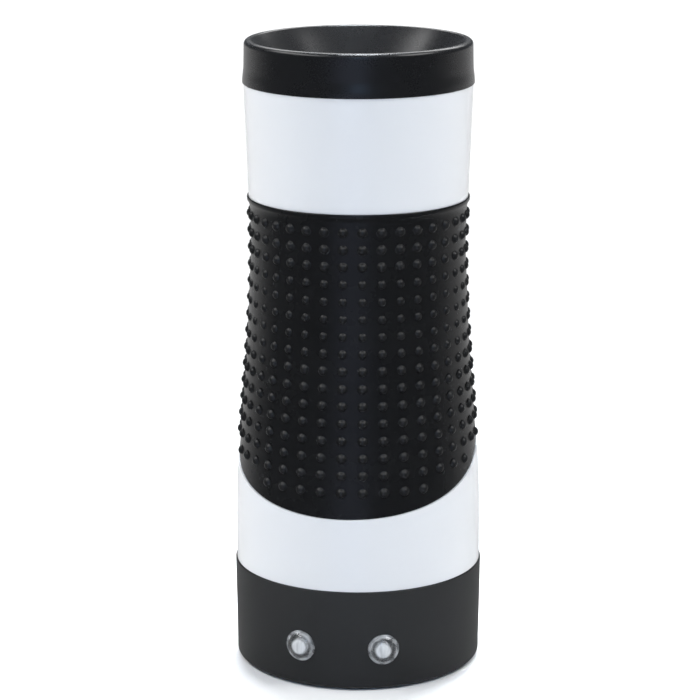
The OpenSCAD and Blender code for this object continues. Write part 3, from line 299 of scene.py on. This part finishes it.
FINISHES = {
    "base_plastic": moulded("base_charcoal", (0.027, 0.027, 0.027), 0.5, 0.00003, 2200, 0.06,
                            shine=0.12),
    "shell_plastic": moulded("shell_white", (0.79, 0.795, 0.805), 0.16, 0.000002, 900, 0.006),
    "grip_rubber": rubbery("grip_black", (0.0075, 0.0075, 0.0079), 0.27, 0.000006, shine=0.16),
    "collar_plastic": moulded("collar_black", (0.008, 0.008, 0.0087), 0.26, 0.000006, 2400, 0.08,
                              shine=0.28),
    "foot_rubber": rubbery("foot_black", (0.012, 0.012, 0.013), 0.7),
    "seal_silicone": rubbery("seal_red", (0.42, 0.07, 0.045), 0.5),
    "well_aluminium": non_stick("well_coating", (0.045, 0.045, 0.048)),
    "mica": fibrous("mica_sheet", (0.5, 0.42, 0.26), 0.45, 160, (1, 1, 0.4), 0.00005),
    "ceramic": moulded("pin_ceramic", (0.78, 0.76, 0.7), 0.55),
    "heating_wire": metal("element_wire", (0.34, 0.3, 0.27), 0.45),
    "sheet_steel": metal("sheath_steel", (0.55, 0.56, 0.58), 0.34, (1, 1, 0.08)),
    "screw_steel": metal("screw_zinc", (0.62, 0.63, 0.66), 0.3),
    "insulation": fibrous("wrap_felt", (0.75, 0.73, 0.68), 0.95, 420, (1, 1, 0.5), 0.0004),
    "aluminium": metal("cap_aluminium", (0.8, 0.81, 0.82), 0.3),
    "bimetal": metal("disc_bimetal", (0.62, 0.58, 0.5), 0.28),
    "phenolic": moulded("body_phenolic", (0.035, 0.026, 0.022), 0.5, 0.00002, 1800, 0.1),
    "brass": metal("tube_brass", (0.78, 0.58, 0.26), 0.3),
    "copper_alloy": metal("arm_copper", (0.76, 0.44, 0.28), 0.3),
    "tinned_brass": metal("tinned_brass", (0.72, 0.7, 0.62), 0.34),
    "wire_live": insulated("lead_brown", (0.17, 0.065, 0.025)),
    "wire_heat": insulated("lead_glass_braid", (0.66, 0.63, 0.56)),
    "wire_neutral": insulated("lead_blue", (0.045, 0.11, 0.36)),
    "wire_earth": insulated("lead_green", (0.14, 0.32, 0.05)),
    "wire_lamp": insulated("lead_grey", (0.1, 0.105, 0.12)),
    "lens_clear": clear_plastic("lens_clear", (0.96, 0.97, 0.98, 1)),
    "lamp_glass": frosted_glass("lamp_frosted", (0.86, 0.86, 0.87, 1)),
    "white_plastic": moulded("holder_white", (0.8, 0.8, 0.78), 0.4),
    "resistor_coat": moulded("resistor_tan", (0.48, 0.28, 0.14), 0.45),
}

for part in frame["record"]["subparts"]:
    node = frame["nodes"][part["node"]]
    node.data.materials.clear()
    node.data.materials.append(FINISHES[part["material_slot"]])


def arc(r, z, size, start, end, steps):
    """Points on an arc of a profile, as radius and height."""
    turn = [radians(start + (end - start) * i / steps) for i in range(steps + 1)]
    return [(r + size * cos(a), z + size * sin(a)) for a in turn]


def turned(profile, steps, closed=True, join=1e-7):
    """Spins a profile, given as radius and height, once round the axis."""
    bm = bmesh.new()
    points = [bm.verts.new((r * MM, 0, z * MM)) for r, z in profile]
    ends = points[1:] + points[:1] if closed else points[1:]
    edges = [bm.edges.new(pair) for pair in zip(points, ends)]
    bmesh.ops.spin(bm, geom=points + edges, cent=(0, 0, 0), axis=(0, 0, 1), angle=2 * pi,
                   steps=steps, use_merge=True)
    bmesh.ops.remove_doubles(bm, verts=bm.verts, dist=join)
    bmesh.ops.recalc_face_normals(bm, faces=bm.faces)
    return bm


def placed(bm, name, slot, *nodes, crease=35, look=None):
    """Makes the piece that stands for the named nodes and rides on the cooker."""
    mesh = bpy.data.meshes.new(name)
    bm.to_mesh(mesh)
    bm.free()
    for face in mesh.polygons:
        face.use_smooth = True
    mesh.set_sharp_from_angle(angle=radians(crease))
    mesh.materials.append(look or FINISHES[slot])
    made = bpy.data.objects.new(name, mesh)
    bpy.context.scene.collection.objects.link(made)
    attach(made, "cooker")
    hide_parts(*nodes)
    return made


def funnel_collar():
    """Rim, funnel and spigot of the collar, with the bosses for its screws."""
    side, lip, lip_h, lip_edge = 38.3, 38.9, 0.7, 0.15
    outer_round, inner_round, land, wall = 1.6, 1.0, 0.3, 2.4
    throat_r, throat_round, throat_foot, skirt_r = 22.4, 2.0, 196.6, 28.0
    spigot_h, spigot_wall, spigot_gap, ledge_h = 4.4, 1.7, 3.35, 2.4
    boss_at, boss_r, boss_foot, boss_sunk = 31.5, 2.8, 193.0, 1.4
    slope = 50
    tilt = radians(slope)

    spigot_r = shell_r(SHELL_Z1 - spigot_h) - spigot_gap
    rim_r = side - outer_round - land
    top_r = rim_r - inner_round * sin(tilt)
    top_z = RIM_Z - inner_round + inner_round * cos(tilt)
    run = (top_r - throat_r - throat_round * (1 - sin(tilt))) / cos(tilt)
    throat_z = top_z - run * sin(tilt) - throat_round * cos(tilt)
    under_r, under_top = top_r + wall * sin(tilt), top_z - wall * cos(tilt)
    side_h = RIM_Z - outer_round - SHELL_Z1 - lip_h

    def under_z(r):
        """Height of the funnel's underside at a radius."""
        return under_top - (under_r - r) * tan(tilt)

    def side_r(t):
        """Radius of the side, from the lip below to the rim above."""
        near = min(1, 2.4 * t)
        return side + (lip - side) * (0.58 * (1 - near * near * (3 - 2 * near)) + 0.42 * (1 - t))

    under_rim = under_z(side - wall) - 1
    profile = [(spigot_r, SHELL_Z1), (lip - lip_edge, SHELL_Z1), (lip, SHELL_Z1 + lip_edge)]
    profile += [(lip, SHELL_Z1 + lip_h)]
    profile += [(side_r(i / 30), SHELL_Z1 + lip_h + side_h * i / 30) for i in range(1, 30)]
    profile += arc(side - outer_round, RIM_Z - outer_round, outer_round, 0, 90, 12)
    profile += arc(rim_r, RIM_Z - inner_round, inner_round, 90, 90 + slope, 8)
    profile += [(top_r + (throat_r - top_r) * t, top_z + (throat_r - top_r) * t * tan(tilt))
                for t in (0.2, 0.4, 0.6)]
    profile += arc(throat_r + throat_round, throat_z, throat_round, 90 + slope, 180, 8)
    profile += [(throat_r, throat_foot), (skirt_r, throat_foot), (skirt_r, under_z(skirt_r))]
    profile += [(under_r - (under_top - under_rim) / tan(tilt), under_rim)]
    profile += [(side - wall, under_rim)]
    profile += [(side - wall, SHELL_Z1 + ledge_h), (spigot_r - spigot_wall, SHELL_Z1 + ledge_h)]
    profile += [(spigot_r - spigot_wall, SHELL_Z1 - spigot_h), (spigot_r, SHELL_Z1 - spigot_h)]
    bm = turned(profile, 160)
    boss_h = under_z(boss_at - boss_r) + boss_sunk - boss_foot
    for angle in (0, 120, 240):
        place = Matrix.Rotation(radians(angle), 4, "Z") @ Matrix.Translation(
            Vector((0, -boss_at, boss_foot + boss_h / 2)) * MM)
        bmesh.ops.create_cone(bm, cap_ends=True, segments=32, radius1=boss_r * MM,
                              radius2=boss_r * MM, depth=boss_h * MM, matrix=place)
    return placed(bm, "funnel_collar", "collar_plastic", "top_collar")


def sweep_centre():
    """Middle of the large circle that cuts the grip's lower edge, seen from the side."""
    front = -shell_r(GRIP_FRONT_Z)
    rise = GRIP_SIDE_Z - GRIP_FRONT_Z
    chord = sqrt(front * front + rise * rise)
    lift = sqrt(GRIP_SWEEP_R ** 2 - chord * chord / 4)
    return front / 2 - lift * rise / chord, (GRIP_FRONT_Z + GRIP_SIDE_Z) / 2 - lift * front / chord


SWEEP_Y, SWEEP_Z = sweep_centre()


def sweep_edge(y):
    """Height of that circle's lower side at a depth."""
    return SWEEP_Z - sqrt(GRIP_SWEEP_R ** 2 - (y - SWEEP_Y) ** 2)


def edge_at(turn):
    """Height of the grip's lower edge at a turn from the front."""
    z = GRIP_FRONT_Z
    for _ in range(6):
        z = sweep_edge(-shell_r(z) * cos(turn))
    return z


def follow_sweep(bm):
    """Slides a spun band's points up so that its lower edge keeps to the sweep."""
    still_z = GRIP_TOP_Z - 5
    for vert in bm.verts:
        r, z = vert.co.xy.length / MM, vert.co.z / MM
        if z >= still_z:
            continue
        turn = pi / 2 - Vector((1, 0)).angle_signed(vert.co.xy)
        edge = edge_at(turn)
        share = (z - GRIP_FRONT_Z) / (still_z - GRIP_FRONT_Z)
        lifted = edge + share * (still_z - edge)
        reach = shell_r(lifted) + r - shell_r(z)
        vert.co.xy = vert.co.xy.normalized() * reach * MM
        vert.co.z = lifted * MM


def grip():
    """The rubber sleeve with its swept lower edge and rolled upper lip."""
    def at(z, shift):
        return (shell_r(z) + shift, z)

    low = GRIP_FRONT_Z + 0.15
    foot, neck = low + 0.8, GRIP_TOP_Z - 3
    lip_z, lip_out = GRIP_TOP_Z - 0.2, 0.55
    profile = [at(low, -GRIP_DEEP), at(low, -GRIP_SUNK - 0.35), at(low + 0.08, -GRIP_SUNK - 0.12)]
    profile += [at(low + 0.32, -GRIP_SUNK), at(foot, -GRIP_SUNK)]
    profile += [at(foot + (neck - foot) * i / 60, -GRIP_SUNK) for i in range(1, 61)]
    for i in range(1, 9):
        t = i / 8
        profile.append(at(neck + (lip_z - neck) * t, -GRIP_SUNK + (lip_out + GRIP_SUNK) * t ** 2.2))
    for rise, out in ((0.45, 0.58), (0.8, 0.52), (1.0, 0.4), (1.1, 0.22), (1.0, 0.12), (0, 0.12)):
        profile.append(at(GRIP_TOP_Z + rise, out))
    profile += [at(GRIP_TOP_Z - 0.1, -GRIP_DEEP)]
    bm = turned(profile, 180)
    follow_sweep(bm)
    return placed(bm, "grip_sleeve_rubber", "grip_rubber", "grip_sleeve", crease=50)


def grip_nub():
    """One nub: a low dome that rises from the sleeve in a small hollow fillet."""
    ball = (NUB_R ** 2 + NUB_H ** 2) / (2 * NUB_H)
    fillet = [(1.95, -0.06), (1.72, 0.02), (1.56, 0.13)]
    dome = [(ball * sin(radians(a)), NUB_H - ball + ball * cos(radians(a)))
            for a in (54, 36, 18, 0)]
    bm = turned(fillet + dome, 12, closed=False, join=1e-6)
    mesh = bpy.data.meshes.new("nub")
    bm.to_mesh(mesh)
    bm.free()
    return mesh


def nubs():
    """The sleeve's grid of nubs, in a paler copy of the sleeve's rubber that paints out the shade
    on their lower sides, and with more shine.
    """
    bm = bmesh.new()
    nub = grip_nub()
    for row in range(NUB_ROWS):
        z = GRIP_TOP_Z - NUB_DROP - NUB_PITCH * row
        lean = atan((shell_r(z - 1) - shell_r(z + 1)) / 2)
        for column in range(NUB_COLUMNS):
            turn = 2 * pi * column / NUB_COLUMNS
            if z - sweep_edge(-shell_r(z) * cos(turn)) < NUB_MARGIN:
                continue
            place = (Matrix.Rotation(turn, 4, "Z")
                     @ Matrix.Translation(Vector((0, -shell_r(z) + GRIP_SUNK, z)) * MM)
                     @ Matrix.Rotation(pi / 2 + lean, 4, "X"))
            nub.transform(place)
            bm.from_mesh(nub)
            nub.transform(place.inverted())
    bpy.data.meshes.remove(nub)
    # painted lift: a paler copy of the sleeve's rubber, so the shade on the domes' lower sides
    # looks lighter
    look = rubbery("nub_black", (0.0102, 0.0102, 0.0105), 0.33, 0.000004, shine=0.2)
    return placed(bm, "grip_nub_grid", "grip_rubber", "grip_nubs", crease=50, look=look)


def lens(name, side, node):
    """A clear domed lens with its flange and barrel, pointing out of the base."""
    bore_r, barrel_r, barrel_end = 3.1, 4.0, 33.5
    face, edge = LENS_FACE + 1.0, 0.3
    dome_r, dome_h = LENS_R - 0.55, 2.2
    hollow_r, hollow_top = 3.6, face + dome_h - 1
    ball = (dome_r ** 2 + dome_h ** 2) / (2 * dome_h)
    reach = degrees(asin(dome_r / ball))
    profile = [(bore_r, barrel_end), (barrel_r, barrel_end), (barrel_r, LENS_FACE)]
    profile += [(LENS_R - 0.1, LENS_FACE), (LENS_R, LENS_FACE + 0.1), (LENS_R, face - edge)]
    profile += arc(LENS_R - edge, face - edge, edge, 0, 90, 5)
    profile += arc(0, face + dome_h - ball, ball, 90 - reach, 90, 14)
    profile += [(0, hollow_top)]
    profile += arc(0, hollow_top - hollow_r, hollow_r, 90, 50, 6)[1:]
    profile += [(bore_r, face - 0.6)]
    bm = turned(profile, 64)
    turn = Matrix.Rotation(radians(side * LENS_ANGLE), 4, "Z")
    lift = Matrix.Translation((0, 0, LENS_Z * MM))
    bmesh.ops.transform(bm, matrix=turn @ lift @ Matrix.Rotation(pi / 2, 4, "X"), verts=bm.verts)
    return placed(bm, name, "lens_clear", node)


def floor():
    """Plain pale floor, left out of reflections."""
    bm = bmesh.new()
    bmesh.ops.create_grid(bm, x_segments=8, y_segments=8, size=6)
    mesh = bpy.data.meshes.new("floor")
    bm.to_mesh(mesh)
    bm.free()
    made = bpy.data.objects.new("floor", mesh)
    bpy.context.scene.collection.objects.link(made)

    def paint(place):
        return {"Base Color": place.noise(3, 2).mix((0.88, 0.88, 0.88, 1), (0.9, 0.9, 0.9, 1))}
    matt = {"Roughness": 0.9, "Specular IOR Level": 0.1}
    mesh.materials.append(finish("floor_pale", matt, paint))
    made.visible_glossy = False
    return made


def softbox(name, azimuth, elevation, away, size, power, colour=(1, 1, 1), aim=(0, 0, 0.1),
            spread=180):
    """A rectangular soft light; azimuth 0 is the front and 90 the viewer's right."""
    a, e = radians(azimuth), radians(elevation)
    light = bpy.data.lights.new(name, "AREA")
    light.shape = "RECTANGLE"
    light.size, light.size_y = size
    light.energy = power
    light.color = colour
    light.spread = radians(spread)
    made = bpy.data.objects.new(name, light)
    bpy.context.scene.collection.objects.link(made)
    made.location = Vector(aim) + away * Vector((sin(a) * cos(e), -cos(a) * cos(e), sin(e)))
    made.rotation_euler = (Vector(aim) - made.location).to_track_quat("-Z", "Y").to_euler()
    return made


def only_on(light, *things):
    """Shields everything but the named things from a light."""
    lit = bpy.data.collections.new(light.name + "_lit")
    for thing in things:
        lit.objects.link(thing)
    light.light_linking.receiver_collection = lit


def studio():
    """Dim surroundings with a soft bluish glow low in front and a pale one low behind."""
    dim = (0.138, 0.149, 0.16, 1)
    front_glow, back_glow = (0.74, 0.82, 1.12, 1), (0.72, 0.72, 0.72, 1)
    world = bpy.data.worlds.new("studio")
    world.use_nodes = True
    tree = world.node_tree
    toward = Flow(tree).node("ShaderNodeTexCoord", out="Generated")
    x, y, z = (toward.node("ShaderNodeSeparateXYZ", {}, {0: toward}, axis) for axis in range(3))
    across = x.math("ABSOLUTE", x, 0).ramp((0.14, 1.0), (0.4, 0.0))
    ahead = (0 - y).ramp((0.5, 0.0), (0.7, 1.0))
    below = (z + 0.5).ramp((0.46, 1.0), (0.5, 0.0))
    behind = (y + 0.5).ramp((0.46, 0.0), (1.0, 1.0))
    glow = (across * ahead * below).mix(dim, front_glow)
    glow = (behind * below).mix(glow, back_glow)
    tree.links.new(glow.socket, tree.nodes["Background"].inputs["Color"])
    bpy.context.scene.world = world


def camera():
    """Camera at the photo's angle, turned a little to frame the cooker as the photo does."""
    place, middle = Vector((0.1235, -0.8899, 0.3332)), Vector((0, 0, 0.10239))
    to_left, to_top = 0.00284, 0.0055
    ahead = (middle - place).normalized()
    right = ahead.cross(Vector((0, 0, 1))).normalized()
    target = middle - right * to_left + right.cross(ahead) * to_top
    lens_data = bpy.data.cameras.new("camera")
    lens_data.lens = 139.0
    lens_data.sensor_width = 36.0
    lens_data.clip_start = 0.01
    made = bpy.data.objects.new("camera", lens_data)
    made.location = place
    made.rotation_euler = (target - place).to_track_quat("-Z", "Y").to_euler()
    bpy.context.scene.collection.objects.link(made)
    bpy.context.scene.camera = made


collar = funnel_collar()
grip()
nub_grid = nubs()
lens("lamp_lens_left", -1, "lens_left")
lens("lamp_lens_right", 1, "lens_right")

ground = floor()
softbox("left_softbox", -71, 49, 1.1, (1.0, 0.36), 8.2)
softbox("right_softbox", 80, 49, 1.1, (0.55, 0.38), 6.4)
only_on(softbox("back_wash", 180, 62, 2.6, (3.2, 1.6), 95, aim=(0, 1.4, 0)), ground, collar)
softbox("top_wash", 180, 78, 1.6, (0.4, 0.3), 1.0, (0.88, 0.94, 1.0), (0, 0, 0), 26)
only_on(softbox("nub_glint", 7, 58, 1.2, (0.36, 0.46), 4.0), nub_grid)
softbox("front_strip", 8, 20, 1.2, (0.3, 0.5), 1.5, (0.42, 0.64, 1.0))
softbox("front_fill", 8, 46, 1.2, (0.8, 0.16), 1.5, (0.74, 0.86, 1.0))
camera()
studio()
bpy.context.scene.view_settings.view_transform = "Standard"
